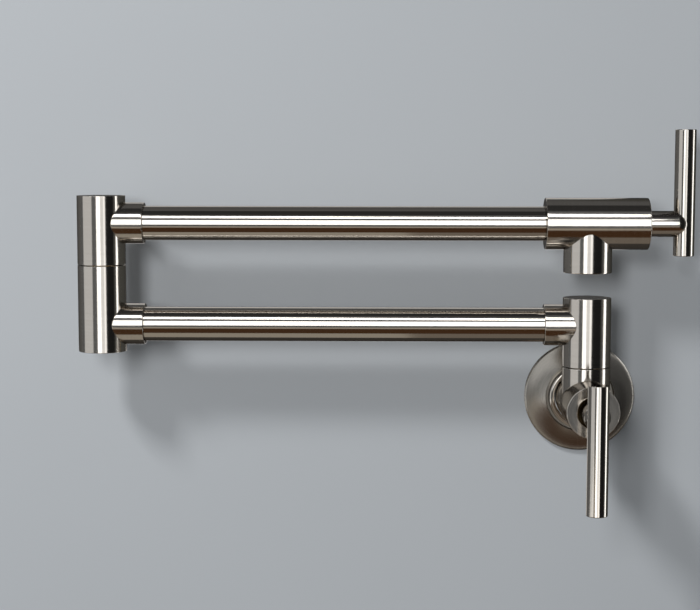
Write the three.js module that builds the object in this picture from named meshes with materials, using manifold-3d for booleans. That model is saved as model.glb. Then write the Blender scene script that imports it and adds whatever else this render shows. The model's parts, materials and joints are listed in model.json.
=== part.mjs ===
// A wall mounted pot filler: two swinging arms that fold over each other, with a quarter turn
// valve on the wall and a second one over the spout.
// Millimetres. X runs along the wall, Y into the wall and Z up. The origin is the centre of the
// flange, on the face of the wall. The arms are folded and both valves are closed.
import * as THREE from "three";
import { mergeVertices } from "three/addons/utils/BufferGeometryUtils.js";
import Module from "manifold-3d";

const wasm = await Module();
wasm.setup();

// Clearances.
const fit = 0.3; // between pieces that seat on or run in each other
const past = 1; // how far a cutter runs beyond the face that it opens

// Facets round a circle.
const outerSides = 24;
const innerSides = 16;
const ringSides = 12;
const ringSectionSides = 5;
const hexSides = 6;
const arcSteps = 4; // along a rounded edge or nose
const openingSteps = 2; // along each side of a disc's opening

// Arms.
const armReach = 282.8; // pivot axis to pivot axis
const armSpacing = 58.9; // lower arm axis to upper arm axis
const tubeDiameter = 20;
const tubeWall = 1.2;
const tubeStopWall = 1.2; // the shoulder that the tube's end stops on
const ferruleWall = 1.7;
const ferruleReach = 25.2; // post axis to the mouth of the ferrule
const postShoulder = 2; // post radius beyond the ferrule's
const postEnd = 16; // arm axis to the capped end of the post
const edgeBevel = 0.4;

// Swivel joints.
const seamToArm = 24.3; // the seam that a sleeve turns on, to its arm's axis
const seamGap = 0.6;
const capWall = 1.3;
const capThickness = 1.6;
const plugThickness = 5;
const plugKey = 8; // across the flats
const plugKeyDepth = 2.5;
const chamberLedge = 1.2; // the step between the cap's seat and the chamber
const flowGap = 1.8; // the ring of water round the shaft
const shaftWall = 3.9;
const shaftRootStep = 0.7;
const shaftTip = 0.6; // what the shaft has beyond its circlip
const windowWidth = 7;
const washerThickness = 1.2;
const washerWidth = 2.5;
const circlipThickness = 1;
const circlipDepth = 1; // how deep the circlip sits in the shaft
const circlipGapAngle = 0.6;
const sealSection = 1.8; // O-ring thickness

// Wall valve and its fixing.
const wallStandoff = 30.8; // wall to the pivot axis
const stubHeight = 22; // valve axis to the seam above it
const bodyRearGap = 2; // wall to the back of the valve body
const nippleDiameter = 20.9;
const nippleBore = 12;
const nippleReach = 18; // what stands behind the face of the wall
const nippleHexDepth = 7;
const nippleBevel = 1.2;
const inletSealThickness = 1.5;

// Flange.
const flangeDiameter = 66;
const flangeFootWidth = 2.4;
const flangeRimHeight = 2.4;
const flangeRimBevel = 0.9;
const flangeHeight = 6; // wall to the edge round the collar ring
const flangeSeatHeight = 3.2;
const flangeWall = 1.7;
const flangeHollow = 1.5; // the hollow behind the flange, which the gasket fills
const faceSteps = 4;
const faceCurve = 1.4; // the power that dishes the face
const gasketWidth = 4;
const gasketThickness = 1.2;
const collarWidth = 3.4;
const collarHeight = 4.5;
const collarGroove = 1.5; // the shadow gap round the collar ring
const gripSection = 1.2;

// Valve bodies.
const bodyDiameter = 30;
const faceReach = 34.3; // port axis to the front face
const mouthWall = 1.4; // what is left of the body round the bonnet
const bonnetDepth = 8;
const bonnetLedge = 2.6; // the step that the bonnet clamps the cartridge on
const seatDepth = 14.5; // port axis back to the floor of the cartridge chamber
const seatWeb = 2.5;
const seatBore = 12;
const portDiameter = 13;
const socketFloor = 2;

// Cartridges.
const cartridgeWall = 1.8;
const sealWidth = 2.6;
const seatSealThickness = 2;
const discThickness = 2.8;
const discHub = 1.6; // radius of the solid centre of a disc
const discRim = 1.6;
const discOpening = 1.35; // angle of each opening, in radians
const tongueWidth = 4;
const tongueDepth = 1;
const driverThickness = 2.5;
const cartridgeWindow = 8;
const spindleDiameter = 8;
const spindleSealSection = 1.1;
const splineTeeth = 8;
const splineDepth = 12; // how far the spindle reaches into the stem
const splineTooth = 0.6;

// Handles.
const stemDiameter = 15;
const stemGap = 1.5; // the gap round the stem, in the bonnet
const stemSink = 4; // how far the stem starts behind the front face
const outletStemReach = 21; // front face to the bar's axis
const wallStemReach = 19.6;
const noseSetback = 4.1; // the bar's axis back to the centre of the round nose
const barDiameter = 12;
const barLongEnd = 54.3;
const barShortEnd = 18.6;
const tenonDiameter = 6;
const tenonReach = 2; // how far the tenon passes the bar's axis
const screwDiameter = 4;
const screwOffset = 4; // front face to the screw's axis
const screwKey = 2; // across the flats
const screwKeyDepth = 1.4;

// Spout and aerator.
const outletRear = 25; // spout axis to the end where the tube enters
const spoutDiameter = 28;
const spoutWall = 2;
const spoutDrop = 28.4; // outlet valve axis to the mouth
const aeratorInset = 1;
const aeratorHeight = 11;
const aeratorWall = 2;
const aeratorLip = 1;
const screenHeight = 6.5; // mouth to the screen
const screenThickness = 1.2;
const screenPitch = 3.8;
const screenBar = 0.8;
const aeratorWasherThickness = 1.2;

// What follows from them.
const quarter = Math.PI / 2;
const seamHalf = seamGap / 2;
const tubeRadius = tubeDiameter / 2;
const tubeBore = tubeRadius - tubeWall;
const tubeSocket = tubeRadius + fit;
const ferruleRadius = tubeSocket + ferruleWall;
const postRadius = ferruleRadius + postShoulder;
const capSeat = postRadius - capWall;
const chamber = capSeat - chamberLedge;
const tubeStop = chamber + tubeStopWall;
const shaftRadius = chamber - flowGap;
const sleeveBore = shaftRadius + fit;
const shaftBore = shaftRadius - shaftWall;
const sealGroove = shaftRadius - sealSection - fit;
const sealRadius = sealGroove + fit + sealSection / 2;
const sealHeight = sealSection + 2 * fit; // groove width
const sleeveTop = seamToArm + postEnd;
const recessTop = seamHalf + washerThickness;
const chamberLow = seamToArm - tubeRadius;
const capUnder = sleeveTop - capThickness;
const shaftTop = capUnder - fit;
const circlipTop = shaftTop - shaftTip - fit;
const circlipLow = circlipTop - circlipThickness;
const landTop = circlipLow - fit;
const upperSeal = landTop - fit - sealHeight / 2;
const chamberHigh = upperSeal - sealHeight / 2 - fit;
const sealThird = (chamberLow - recessTop) / 3;
const sealPlaces = {
  lower: recessTop + sealThird,
  middle: chamberLow - sealThird,
  upper: upperSeal,
};

const bodyRadius = bodyDiameter / 2;
const bonnetSeat = bodyRadius - mouthWall;
const cartridgeBore = bonnetSeat - bonnetLedge;
const cartridgeRadius = cartridgeBore - fit;
const cartridgeCavity = cartridgeRadius - cartridgeWall;
const discRadius = cartridgeCavity - fit;
const bonnetFloor = faceReach - bonnetDepth;
const cartridgeTop = bonnetFloor - fit;
const cartridgeLow = -seatDepth + fit;
const seatSealTop = cartridgeLow + seatSealThickness;
const fixedDiscLow = seatSealTop + fit;
const movingDiscLow = fixedDiscLow + discThickness + fit;
const driverLow = movingDiscLow + discThickness + fit;
const driverTop = driverLow + driverThickness;
const windowHalf = cartridgeWindow / 2;
const neckLow = windowHalf + fit;
const neckMiddle = (neckLow + cartridgeTop) / 2;
const cartridgeGroove = cartridgeRadius - sealSection;
const seatRear = seatDepth + seatWeb;
const rootDepth = stubHeight - cartridgeBore - socketFloor;
const rootRadius = shaftRadius - shaftRootStep;

const spindleRadius = spindleDiameter / 2;
const spindleGroove = spindleRadius - spindleSealSection - fit;
const stemRadius = stemDiameter / 2;
const stemLow = faceReach - stemSink;
const spindleTop = stemLow + splineDepth;
const bonnetHole = stemRadius + stemGap;
const barRadius = barDiameter / 2;
const tenonRadius = tenonDiameter / 2;

const lowerArmHeight = stubHeight + seamToArm;
const upperArmHeight = lowerArmHeight + armSpacing;
const elbowSeam = armSpacing - seamToArm; // above the lower arm's axis
const spoutBore = spoutDiameter / 2 - spoutWall;
const aeratorRadius = spoutBore - fit;
const aeratorBore = aeratorRadius - aeratorWall;
const collarInner = bodyRadius + fit;
const collarOuter = collarInner + collarWidth;
const flangeSeat = collarOuter + collarGroove;
const collarLow = flangeSeatHeight + fit;
const gripLow = collarLow + fit; // of the grip ring's groove
const flangeRadius = flangeDiameter / 2;
const nippleRadius = nippleDiameter / 2;
const inletSealHigh = wallStandoff - seatRear - fit;
const inletSealLow = inletSealHigh - inletSealThickness;
const nippleTop = inletSealLow - fit;

// Finishes, one material for each mesh.
const brushedNickel = { color: 0xb4ada2, roughness: 0.34, metalness: 1 };
const polishedTube = { color: 0xbfb8ad, roughness: 0.22, metalness: 1 };
const brass = { color: 0xc39b52, roughness: 0.38, metalness: 1 };
const springSteel = { color: 0x8d8f92, roughness: 0.3, metalness: 1 };
const ceramic = { color: 0xece8df, roughness: 0.25, metalness: 0 };
const rubber = { color: 0x1b1b1c, roughness: 0.85, metalness: 0 };
const whitePlastic = { color: 0xe6e4dd, roughness: 0.5, metalness: 0 };

// A closed geometry as a solid that can be joined and cut.
function solid(geometry) {
  const bare = new THREE.BufferGeometry();
  bare.setAttribute("position", geometry.getAttribute("position"));
  bare.setIndex(geometry.getIndex());
  const merged = mergeVertices(bare);
  const vertProperties = merged.getAttribute("position").array;
  const triVerts = new Uint32Array(merged.getIndex().array);
  return new wasm.Manifold(new wasm.Mesh({ numProp: 3, vertProperties, triVerts }));
}

// A solid as a geometry with a normal for each facet.
function geometryOf(shape) {
  const { vertProperties, triVerts } = shape.getMesh();
  const indexed = new THREE.BufferGeometry();
  indexed.setAttribute("position", new THREE.BufferAttribute(vertProperties, 3));
  indexed.setIndex(new THREE.BufferAttribute(triVerts, 1));
  const faceted = indexed.toNonIndexed();
  faceted.computeVertexNormals();
  return faceted;
}

function addPiece(parent, name, shape, finish) {
  const mesh = new THREE.Mesh(geometryOf(shape), new THREE.MeshStandardMaterial(finish));
  mesh.name = name;
  parent.add(mesh);
}

// A profile of [radius, height] pairs, anticlockwise, turned round Z.
function lathe(profile, sides = outerSides) {
  const points = profile.map(([radius, height]) => new THREE.Vector2(radius, height));
  if (points[0].x > 0) points.push(points[0].clone());
  return new THREE.LatheGeometry(points, sides).rotateX(quarter);
}

// The section of a ring, or of a disc where inner is 0, with bevels on its outer corners.
function ringProfile(inner, outer, low, high, bevel = 0) {
  if (bevel === 0) {
    return [[inner, low], [outer, low], [outer, high], [inner, high]];
  }
  const face = outer - bevel;
  return [
    [inner, low],
    [face, low],
    [outer, low + bevel],
    [outer, high - bevel],
    [face, high],
    [inner, high],
  ];
}

function drum(inner, outer, low, high, bevel, sides) {
  return solid(lathe(ringProfile(inner, outer, low, high, bevel), sides));
}

function drumAlongX(inner, outer, low, high, bevel, sides) {
  return solid(lathe(ringProfile(inner, outer, low, high, bevel), sides).rotateY(quarter));
}

function block(width, depth, height, x, y, z) {
  return solid(new THREE.BoxGeometry(width, depth, height).translate(x, y, z));
}

// The radius of a hexagon's corners.
function hexCorner(acrossFlats) {
  return acrossFlats / 2 / Math.cos(Math.PI / hexSides);
}

// An O-ring round Z.
function sealRing(radius, section, height) {
  const torus = new THREE.TorusGeometry(radius, section / 2, ringSectionSides, ringSides);
  return solid(torus.translate(0, 0, height));
}

// Swivel joint ----------------------------------------------------------------------------

// A cylinder along X at the height of an arm.
function armDrum(height, radius, low, high, bevel) {
  const profile = ringProfile(0, radius, low, high, bevel);
  return solid(lathe(profile).rotateY(quarter).translate(0, 0, height));
}

// The socket for the arm tube, open to the chamber.
function tubeSocketCut(height) {
  const socket = armDrum(height, tubeSocket, tubeStop, ferruleReach + past);
  const mouth = armDrum(height, tubeBore, 0, tubeStop + past);
  return socket.add(mouth);
}

function ferrule(height) {
  return armDrum(height, ferruleRadius, 0, ferruleReach, edgeBevel);
}

// The sleeve that turns on a swivel shaft. Its seam is at Z = 0.
function pivotSleeve() {
  const post = drum(0, postRadius, seamHalf, sleeveTop, edgeBevel);
  const washerSeat = sleeveBore + washerWidth + fit;
  const profile = [
    [0, seamHalf - past],
    [washerSeat, seamHalf - past],
    [washerSeat, recessTop + fit],
    [sleeveBore, recessTop + fit],
    [sleeveBore, chamberLow],
    [chamber, chamberLow],
    [chamber, chamberHigh],
    [sleeveBore, chamberHigh],
    [sleeveBore, landTop],
    [capSeat, landTop],
    [capSeat, sleeveTop + past],
    [0, sleeveTop + past],
  ];
  const bore = solid(lathe(profile, innerSides));
  return post.add(ferrule(seamToArm)).subtract(bore).subtract(tubeSocketCut(seamToArm));
}

// The lower half of the elbow, from its capped end to the seam. The arm's axis is at Z = 0.
function elbowLowerSleeve() {
  const post = drum(0, postRadius, -postEnd, elbowSeam - seamHalf, edgeBevel);
  const plugFloor = -postEnd + plugThickness + fit;
  const chamberTop = tubeRadius;
  const socketLow = elbowSeam - rootDepth - fit;
  const profile = [
    [0, -postEnd - past],
    [capSeat, -postEnd - past],
    [capSeat, plugFloor],
    [chamber, plugFloor],
    [chamber, chamberTop],
    [shaftBore, chamberTop],
    [shaftBore, socketLow],
    [rootRadius + fit, socketLow],
    [rootRadius + fit, elbowSeam],
    [0, elbowSeam],
  ];
  const bore = solid(lathe(profile, innerSides));
  return post.add(ferrule(0)).subtract(bore).subtract(tubeSocketCut(0));
}

// The hollow shaft: screwed in below the seam, with seal grooves, four windows at the height of
// the arm and a circlip groove at its closed top.
function swivelShaft() {
  const groove = (middle) => [
    [shaftRadius, middle - sealHeight / 2],
    [sealGroove, middle - sealHeight / 2],
    [sealGroove, middle + sealHeight / 2],
    [shaftRadius, middle + sealHeight / 2],
  ];
  const circlipSeat = shaftRadius - circlipDepth - fit;
  const outline = lathe(
    [
      [0, -rootDepth],
      [rootRadius, -rootDepth],
      [rootRadius, 0],
      [shaftRadius, 0],
      ...groove(sealPlaces.lower),
      ...groove(sealPlaces.middle),
      ...groove(sealPlaces.upper),
      [shaftRadius, circlipLow - fit],
      [circlipSeat, circlipLow - fit],
      [circlipSeat, circlipTop + fit],
      [shaftRadius, circlipTop + fit],
      [shaftRadius, shaftTop],
      [0, shaftTop],
    ],
    ringSides,
  );
  const windowHigh = seamToArm + tubeBore - fit;
  const windowLow = seamToArm - tubeBore + fit;
  const windowHeight = windowHigh - windowLow;
  const bore = drum(0, shaftBore, -rootDepth - past, windowHigh, 0, ringSides);
  const across = 2 * (shaftRadius + past);
  const alongX = block(across, windowWidth, windowHeight, 0, 0, seamToArm);
  const alongY = block(windowWidth, across, windowHeight, 0, 0, seamToArm);
  return solid(outline).subtract(bore).subtract(alongX).subtract(alongY);
}

function circlip() {
  const inner = shaftRadius - circlipDepth;
  const outer = (sleeveBore + capSeat) / 2;
  const open = circlipGapAngle / 2;
  const outline = new THREE.Shape();
  outline.absarc(0, 0, outer, open, 2 * Math.PI - open, false);
  outline.absarc(0, 0, inner, 2 * Math.PI - open, open, true);
  const settings = { depth: circlipThickness, bevelEnabled: false, curveSegments: innerSides / 2 };
  return solid(new THREE.ExtrudeGeometry(outline, settings).translate(0, 0, circlipLow));
}

function addSwivelShaft(parent, prefix) {
  addPiece(parent, `${prefix}_swivel_shaft`, swivelShaft(), brass);
  for (const [place, height] of Object.entries(sealPlaces)) {
    const ring = sealRing(sealRadius, sealSection, height);
    addPiece(parent, `${prefix}_shaft_${place}_ring`, ring, rubber);
  }
  addPiece(parent, `${prefix}_shaft_circlip`, circlip(), springSteel);
}

// A sleeve with its thrust washer and cap, which turn with it.
function addPivotSleeve(parent, prefix) {
  const washer = drum(sleeveBore, sleeveBore + washerWidth, seamHalf, recessTop, 0, innerSides);
  const cap = drum(0, capSeat - fit, capUnder, sleeveTop, 0, innerSides);
  addPiece(parent, `${prefix}_sleeve`, pivotSleeve(), brushedNickel);
  addPiece(parent, `${prefix}_washer`, washer, whitePlastic);
  addPiece(parent, `${prefix}_cap`, cap, brushedNickel);
}

function armTube() {
  const end = tubeStop + fit;
  return drumAlongX(tubeBore, tubeRadius, end, armReach - end, 0);
}

// Valves ------------------------------------------------------------------------------------
// A valve's own frame has its axis on Z, towards the handle, and its port on X.

// The body without its port's end: a barrel and a neck, bored for the inlet, the cartridge and
// the bonnet.
function valveShell(rear, inletRadius, neckRadius, neckLength) {
  const barrel = drum(0, bodyRadius, -rear, faceReach, edgeBevel);
  const neck = drumAlongX(0, neckRadius, 0, neckLength, edgeBevel);
  const bore = lathe([
    [0, -rear - past],
    [inletRadius, -rear - past],
    [inletRadius, -seatRear],
    [seatBore / 2, -seatRear],
    [seatBore / 2, -seatDepth],
    [cartridgeBore, -seatDepth],
    [cartridgeBore, bonnetFloor],
    [bonnetSeat, bonnetFloor],
    [bonnetSeat, faceReach + past],
    [0, faceReach + past],
  ]);
  const port = drumAlongX(0, portDiameter / 2, 0, neckLength + past, 0, innerSides);
  return barrel.add(neck).subtract(solid(bore)).subtract(port);
}

function wallValveBody() {
  const shell = valveShell(
    wallStandoff - bodyRearGap,
    nippleRadius + fit,
    postRadius,
    stubHeight - seamHalf,
  );
  const socket = [0, rootRadius + fit, stubHeight - rootDepth - fit, stubHeight + past, 0];
  return shell.subtract(drumAlongX(...socket));
}

function outletValveBody() {
  const shell = valveShell(outletRear, tubeSocket, spoutDiameter / 2, spoutDrop);
  const spoutRoof = cartridgeBore + socketFloor;
  return shell.subtract(drumAlongX(0, spoutBore, spoutRoof, spoutDrop + past, 0));
}

// The threaded ring that closes the front of the body, round the stem.
function bonnet() {
  const outer = bonnetSeat - fit;
  const profile = [
    [bonnetHole, bonnetFloor],
    [outer, bonnetFloor],
    [outer, faceReach - edgeBevel],
    [outer - edgeBevel, faceReach],
    [bonnetHole + edgeBevel, faceReach],
    [bonnetHole, faceReach - edgeBevel],
  ];
  return solid(lathe(profile));
}

// The cartridge's brass body: a skirt over the discs, windows round the port and a sealed neck.
function cartridgeBody() {
  const groove = sealHeight / 2;
  const profile = [
    [cartridgeCavity, cartridgeLow],
    [cartridgeRadius, cartridgeLow],
    [cartridgeRadius, neckMiddle - groove],
    [cartridgeGroove - fit, neckMiddle - groove],
    [cartridgeGroove - fit, neckMiddle + groove],
    [cartridgeRadius, neckMiddle + groove],
    [cartridgeRadius, cartridgeTop],
    [spindleRadius + fit, cartridgeTop],
    [spindleRadius + fit, neckLow],
    [cartridgeCavity, neckLow],
  ];
  const across = 2 * (cartridgeRadius + past);
  const alongX = block(across, cartridgeWindow, cartridgeWindow, 0, 0, 0);
  const alongY = block(cartridgeWindow, across, cartridgeWindow, 0, 0, 0);
  return solid(lathe(profile, innerSides)).subtract(alongX).subtract(alongY);
}

// A ceramic disc with two openings, which lie along Y, or along X where turn is a quarter.
function ceramicDisc(low, turn) {
  let disc = drum(0, discRadius, low, low + discThickness, 0, innerSides);
  for (const middle of [quarter + turn, 3 * quarter + turn]) {
    const start = middle - discOpening / 2;
    const end = middle + discOpening / 2;
    const opening = new THREE.Shape();
    opening.absarc(0, 0, discRadius - discRim, start, end, false);
    opening.absarc(0, 0, discHub, end, start, true);
    const depth = discThickness + 2 * past;
    const settings = { depth, bevelEnabled: false, curveSegments: openingSteps };
    const cutter = new THREE.ExtrudeGeometry(opening, settings).translate(0, 0, low - past);
    disc = disc.subtract(solid(cutter));
  }
  return disc;
}

// The moving disc has a slot across its back, which the spindle's tongue turns it by.
function movingDisc() {
  const slotDepth = tongueDepth + fit;
  const slotMiddle = movingDiscLow + discThickness - slotDepth / 2 + past / 2;
  const slot = block(
    2 * (discRadius + past),
    tongueWidth + 2 * fit,
    slotDepth + past,
    0,
    0,
    slotMiddle,
  );
  return ceramicDisc(movingDiscLow, quarter).subtract(slot);
}

// The spindle: a tongue for the disc, a bar over it, a sealed rod and a splined end.
function spindle() {
  const span = 2 * (discRadius - discRim);
  const groove = spindleSealSection / 2 + fit;
  const tongueLow = driverLow - tongueDepth;
  const driver = block(span, tongueWidth, driverTop - tongueLow, 0, 0, (driverTop + tongueLow) / 2);
  const rod = lathe(
    [
      [0, driverTop - past],
      [spindleRadius, driverTop - past],
      [spindleRadius, neckMiddle - groove],
      [spindleGroove, neckMiddle - groove],
      [spindleGroove, neckMiddle + groove],
      [spindleRadius, neckMiddle + groove],
      [spindleRadius, cartridgeTop],
      [0, cartridgeTop],
    ],
    innerSides,
  );
  return solid(rod).add(driver).add(spline());
}

// A star section with one point for each tooth.
function spline() {
  const outline = new THREE.Shape();
  const corners = 2 * splineTeeth;
  for (let corner = 0; corner < corners; corner += 1) {
    const radius = corner % 2 === 0 ? spindleRadius : spindleRadius - splineTooth;
    const angle = (2 * Math.PI * corner) / corners;
    const point = [radius * Math.cos(angle), radius * Math.sin(angle)];
    if (corner === 0) outline.moveTo(...point);
    else outline.lineTo(...point);
  }
  const low = cartridgeTop - past;
  const settings = { depth: spindleTop - low, bevelEnabled: false };
  return solid(new THREE.ExtrudeGeometry(outline, settings).translate(0, 0, low));
}

function addValveInside(parent, prefix) {
  const seal = drum(discRadius - sealWidth, discRadius, cartridgeLow, seatSealTop, 0, innerSides);
  const ring = sealRing(cartridgeRadius - sealSection / 2, sealSection, neckMiddle);
  addPiece(parent, `${prefix}_bonnet`, bonnet(), brushedNickel);
  addPiece(parent, `${prefix}_cartridge_body`, cartridgeBody(), brass);
  addPiece(parent, `${prefix}_cartridge_ring`, ring, rubber);
  addPiece(parent, `${prefix}_seat_seal`, seal, rubber);
  addPiece(parent, `${prefix}_fixed_disc`, ceramicDisc(fixedDiscLow, 0), ceramic);
}

// Handles -----------------------------------------------------------------------------------

// The stem: a cylinder with a round nose that is coped to the bar, a tenon that pins the bar,
// and a socket for the spindle with a set screw through its wall.
function handleStem(reach, screwSide) {
  const barAxis = faceReach + reach;
  const nose = barAxis - noseSetback;
  const profile = [
    [0, stemLow],
    [stemRadius, stemLow],
  ];
  for (let step = 0; step <= arcSteps; step += 1) {
    const angle = (quarter * step) / arcSteps;
    profile.push([stemRadius * Math.cos(angle), nose + stemRadius * Math.sin(angle)]);
  }
  const rounded = solid(lathe(profile));
  const coped = rounded.subtract(barBlank(barRadius + fit, barAxis, past));
  const tenonRoot = barAxis - barRadius - fit - past;
  const tenon = drum(0, tenonRadius, tenonRoot, barAxis + tenonReach, 0, innerSides);
  const socket = drum(0, spindleRadius + fit, stemLow - past, spindleTop + fit, 0, innerSides);
  const screwWay = ringProfile(0, screwDiameter / 2 + fit, 0, stemRadius + past);
  return coped.add(tenon).subtract(socket).subtract(alongScrew(screwWay, screwSide, innerSides));
}

// A profile turned round the axis of the set screw, which runs along X, or against it where side
// is -1.
function alongScrew(profile, side, sides) {
  const turned = lathe(profile, sides).rotateY(side * quarter);
  return solid(turned.translate(0, 0, faceReach + screwOffset));
}

// The bar's cylinder, across the valve's axis, with its long end away from the port.
function barBlank(radius, barAxis, extra, bevel = 0) {
  const profile = ringProfile(0, radius, -barLongEnd - extra, barShortEnd + extra, bevel);
  return solid(lathe(profile).rotateY(quarter).translate(0, 0, barAxis));
}

function handleBar(reach) {
  const barAxis = faceReach + reach;
  const hole = [0, tenonRadius + fit, barAxis - barRadius - past, barAxis + tenonReach + fit];
  return barBlank(barRadius, barAxis, 0, edgeBevel).subtract(drum(...hole, 0, innerSides));
}

function handleScrew(screwSide) {
  const shank = ringProfile(0, screwDiameter / 2, spindleRadius + 2 * fit, stemRadius);
  const key = ringProfile(0, hexCorner(screwKey), stemRadius - screwKeyDepth, stemRadius + past);
  const body = alongScrew(shank, screwSide, innerSides);
  return body.subtract(alongScrew(key, screwSide, hexSides));
}

// Everything that a quarter turn moves.
function addHandle(parent, prefix, reach, screwSide) {
  const ringRadius = spindleRadius - spindleSealSection / 2;
  const ring = sealRing(ringRadius, spindleSealSection, neckMiddle);
  addPiece(parent, `${prefix}_spindle`, spindle(), brass);
  addPiece(parent, `${prefix}_spindle_ring`, ring, rubber);
  addPiece(parent, `${prefix}_moving_disc`, movingDisc(), ceramic);
  addPiece(parent, `${prefix}_handle_stem`, handleStem(reach, screwSide), brushedNickel);
  addPiece(parent, `${prefix}_handle_bar`, handleBar(reach), brushedNickel);
  addPiece(parent, `${prefix}_handle_screw`, handleScrew(screwSide), springSteel);
}

// Wall fixing ---------------------------------------------------------------------------------
// Heights are distances from the wall into the room.

// The threaded connector, from behind the wall into the body, with a hexagon for its key.
function inletNipple() {
  const bore = nippleBore / 2;
  const keyLow = nippleTop - nippleHexDepth;
  const outline = drum(bore, nippleRadius, -nippleReach, nippleTop, nippleBevel, innerSides);
  return outline.subtract(drum(0, hexCorner(nippleBore), keyLow, nippleTop + past, 0, hexSides));
}

function inletSeal() {
  return drum(nippleBore / 2, nippleRadius - fit, inletSealLow, inletSealHigh, 0, innerSides);
}

// The flange's face rises from its rim to the edge round the collar as a power of the way in.
function flange() {
  const rim = flangeRadius - flangeRimBevel;
  const edge = flangeSeat + edgeBevel;
  const face = [];
  for (let step = 0; step <= faceSteps; step += 1) {
    const way = step / faceSteps;
    const height = flangeRimHeight + (flangeHeight - flangeRimHeight) * way ** faceCurve;
    face.push([rim + (edge - rim) * way, height]);
  }
  const foot = flangeRadius - flangeFootWidth;
  const hub = flangeSeat + flangeWall;
  const gasketInner = foot - fit - gasketWidth;
  return solid(
    lathe([
      [collarInner, flangeHollow],
      [hub, flangeHollow],
      [hub, flangeHeight - 2 * flangeWall],
      [gasketInner - flangeWall, flangeHollow],
      [foot, flangeHollow],
      [foot, 0],
      [flangeRadius, 0],
      [flangeRadius, flangeRimHeight - flangeRimBevel],
      ...face,
      [flangeSeat, flangeHeight - edgeBevel],
      [flangeSeat, flangeSeatHeight],
      [collarInner, flangeSeatHeight],
    ]),
  );
}

function flangeGasket() {
  const outer = flangeRadius - flangeFootWidth - fit;
  return drum(outer - gasketWidth, outer, 0, gasketThickness, 0, innerSides);
}

// The collar ring that clamps the flange: a round top, and a groove inside for its grip ring.
function collarRing() {
  const round = collarWidth / 2;
  const middle = collarInner + round;
  const shoulder = collarLow + collarHeight - round;
  const top = [];
  for (let step = 0; step <= arcSteps; step += 1) {
    const angle = (Math.PI * step) / arcSteps;
    top.push([middle + round * Math.cos(angle), shoulder + round * Math.sin(angle)]);
  }
  const gripHigh = gripLow + gripSection + 2 * fit;
  const gripDeep = collarInner + gripSection + fit;
  return solid(
    lathe([
      [collarInner, collarLow],
      [collarOuter, collarLow],
      ...top,
      [collarInner, gripHigh],
      [gripDeep, gripHigh],
      [gripDeep, gripLow],
      [collarInner, gripLow],
    ]),
  );
}

function gripRing() {
  const radius = collarInner + gripSection / 2;
  const height = gripLow + fit + gripSection / 2;
  const torus = new THREE.TorusGeometry(radius, gripSection / 2, ringSectionSides, innerSides);
  return solid(torus.translate(0, 0, height));
}

// Aerator ---------------------------------------------------------------------------------------
// In the outlet valve's frame, where X points down at the mouth.

function aeratorHousing() {
  const mouth = spoutDrop - aeratorInset;
  const screenSeat = spoutDrop - screenHeight + screenThickness / 2 + fit;
  const profile = [
    [aeratorBore, mouth - aeratorHeight],
    [aeratorRadius, mouth - aeratorHeight],
    [aeratorRadius, mouth - edgeBevel],
    [aeratorRadius - edgeBevel, mouth],
    [aeratorBore - aeratorLip, mouth],
    [aeratorBore - aeratorLip, screenSeat],
    [aeratorBore, screenSeat],
  ];
  return solid(lathe(profile, innerSides).rotateY(quarter));
}

// The screen: a disc with a square hole at each step of its pitch that fits inside its rim.
function aeratorScreen() {
  const radius = aeratorBore - fit;
  const hole = screenPitch - screenBar;
  const reach = radius - screenBar;
  const middle = spoutDrop - screenHeight;
  const half = screenThickness / 2;
  const count = Math.floor(radius / screenPitch);
  let disc = drumAlongX(0, radius, middle - half, middle + half, 0, innerSides);
  for (let row = -count; row <= count; row += 1) {
    for (let column = -count; column <= count; column += 1) {
      const across = Math.abs(column) * screenPitch + hole / 2;
      const along = Math.abs(row) * screenPitch + hole / 2;
      const place = [middle, column * screenPitch, row * screenPitch];
      const cutter = block(screenThickness + past, hole, hole, ...place);
      if (Math.hypot(across, along) < reach) disc = disc.subtract(cutter);
    }
  }
  return disc;
}

function aeratorWasher() {
  const low = spoutDrop - aeratorInset - aeratorHeight - fit - aeratorWasherThickness;
  const inner = aeratorBore - aeratorLip;
  return drumAlongX(inner, aeratorRadius, low, low + aeratorWasherThickness, 0, innerSides);
}

// Assembly ------------------------------------------------------------------------------------

function groupAt(x, y, z) {
  const group = new THREE.Group();
  group.position.set(x, y, z);
  return group;
}

// A group whose X axis is the valve's port and whose Z axis points at its handle.
function valveGroup(port, handle, x, y, z) {
  const group = groupAt(x, y, z);
  const side = new THREE.Vector3().crossVectors(handle, port);
  group.setRotationFromMatrix(new THREE.Matrix4().makeBasis(port, side, handle));
  return group;
}

function addWallFixing(parent) {
  const fixing = groupAt(0, 0, 0);
  fixing.rotation.x = quarter;
  addPiece(fixing, "inlet_nipple", inletNipple(), brass);
  addPiece(fixing, "inlet_seal", inletSeal(), rubber);
  addPiece(fixing, "wall_flange", flange(), brushedNickel);
  addPiece(fixing, "flange_gasket", flangeGasket(), rubber);
  addPiece(fixing, "flange_collar_ring", collarRing(), brushedNickel);
  addPiece(fixing, "collar_grip_ring", gripRing(), rubber);
  parent.add(fixing);
}

function addWallValve(parent) {
  const up = new THREE.Vector3(0, 0, 1);
  const outwards = new THREE.Vector3(0, -1, 0);
  const valve = valveGroup(up, outwards, 0, -wallStandoff, 0);
  addPiece(valve, "wall_valve_body", wallValveBody(), brushedNickel);
  addValveInside(valve, "wall");
  addHandle(valve, "wall", wallStemReach, -1);
  parent.add(valve);
}

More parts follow.
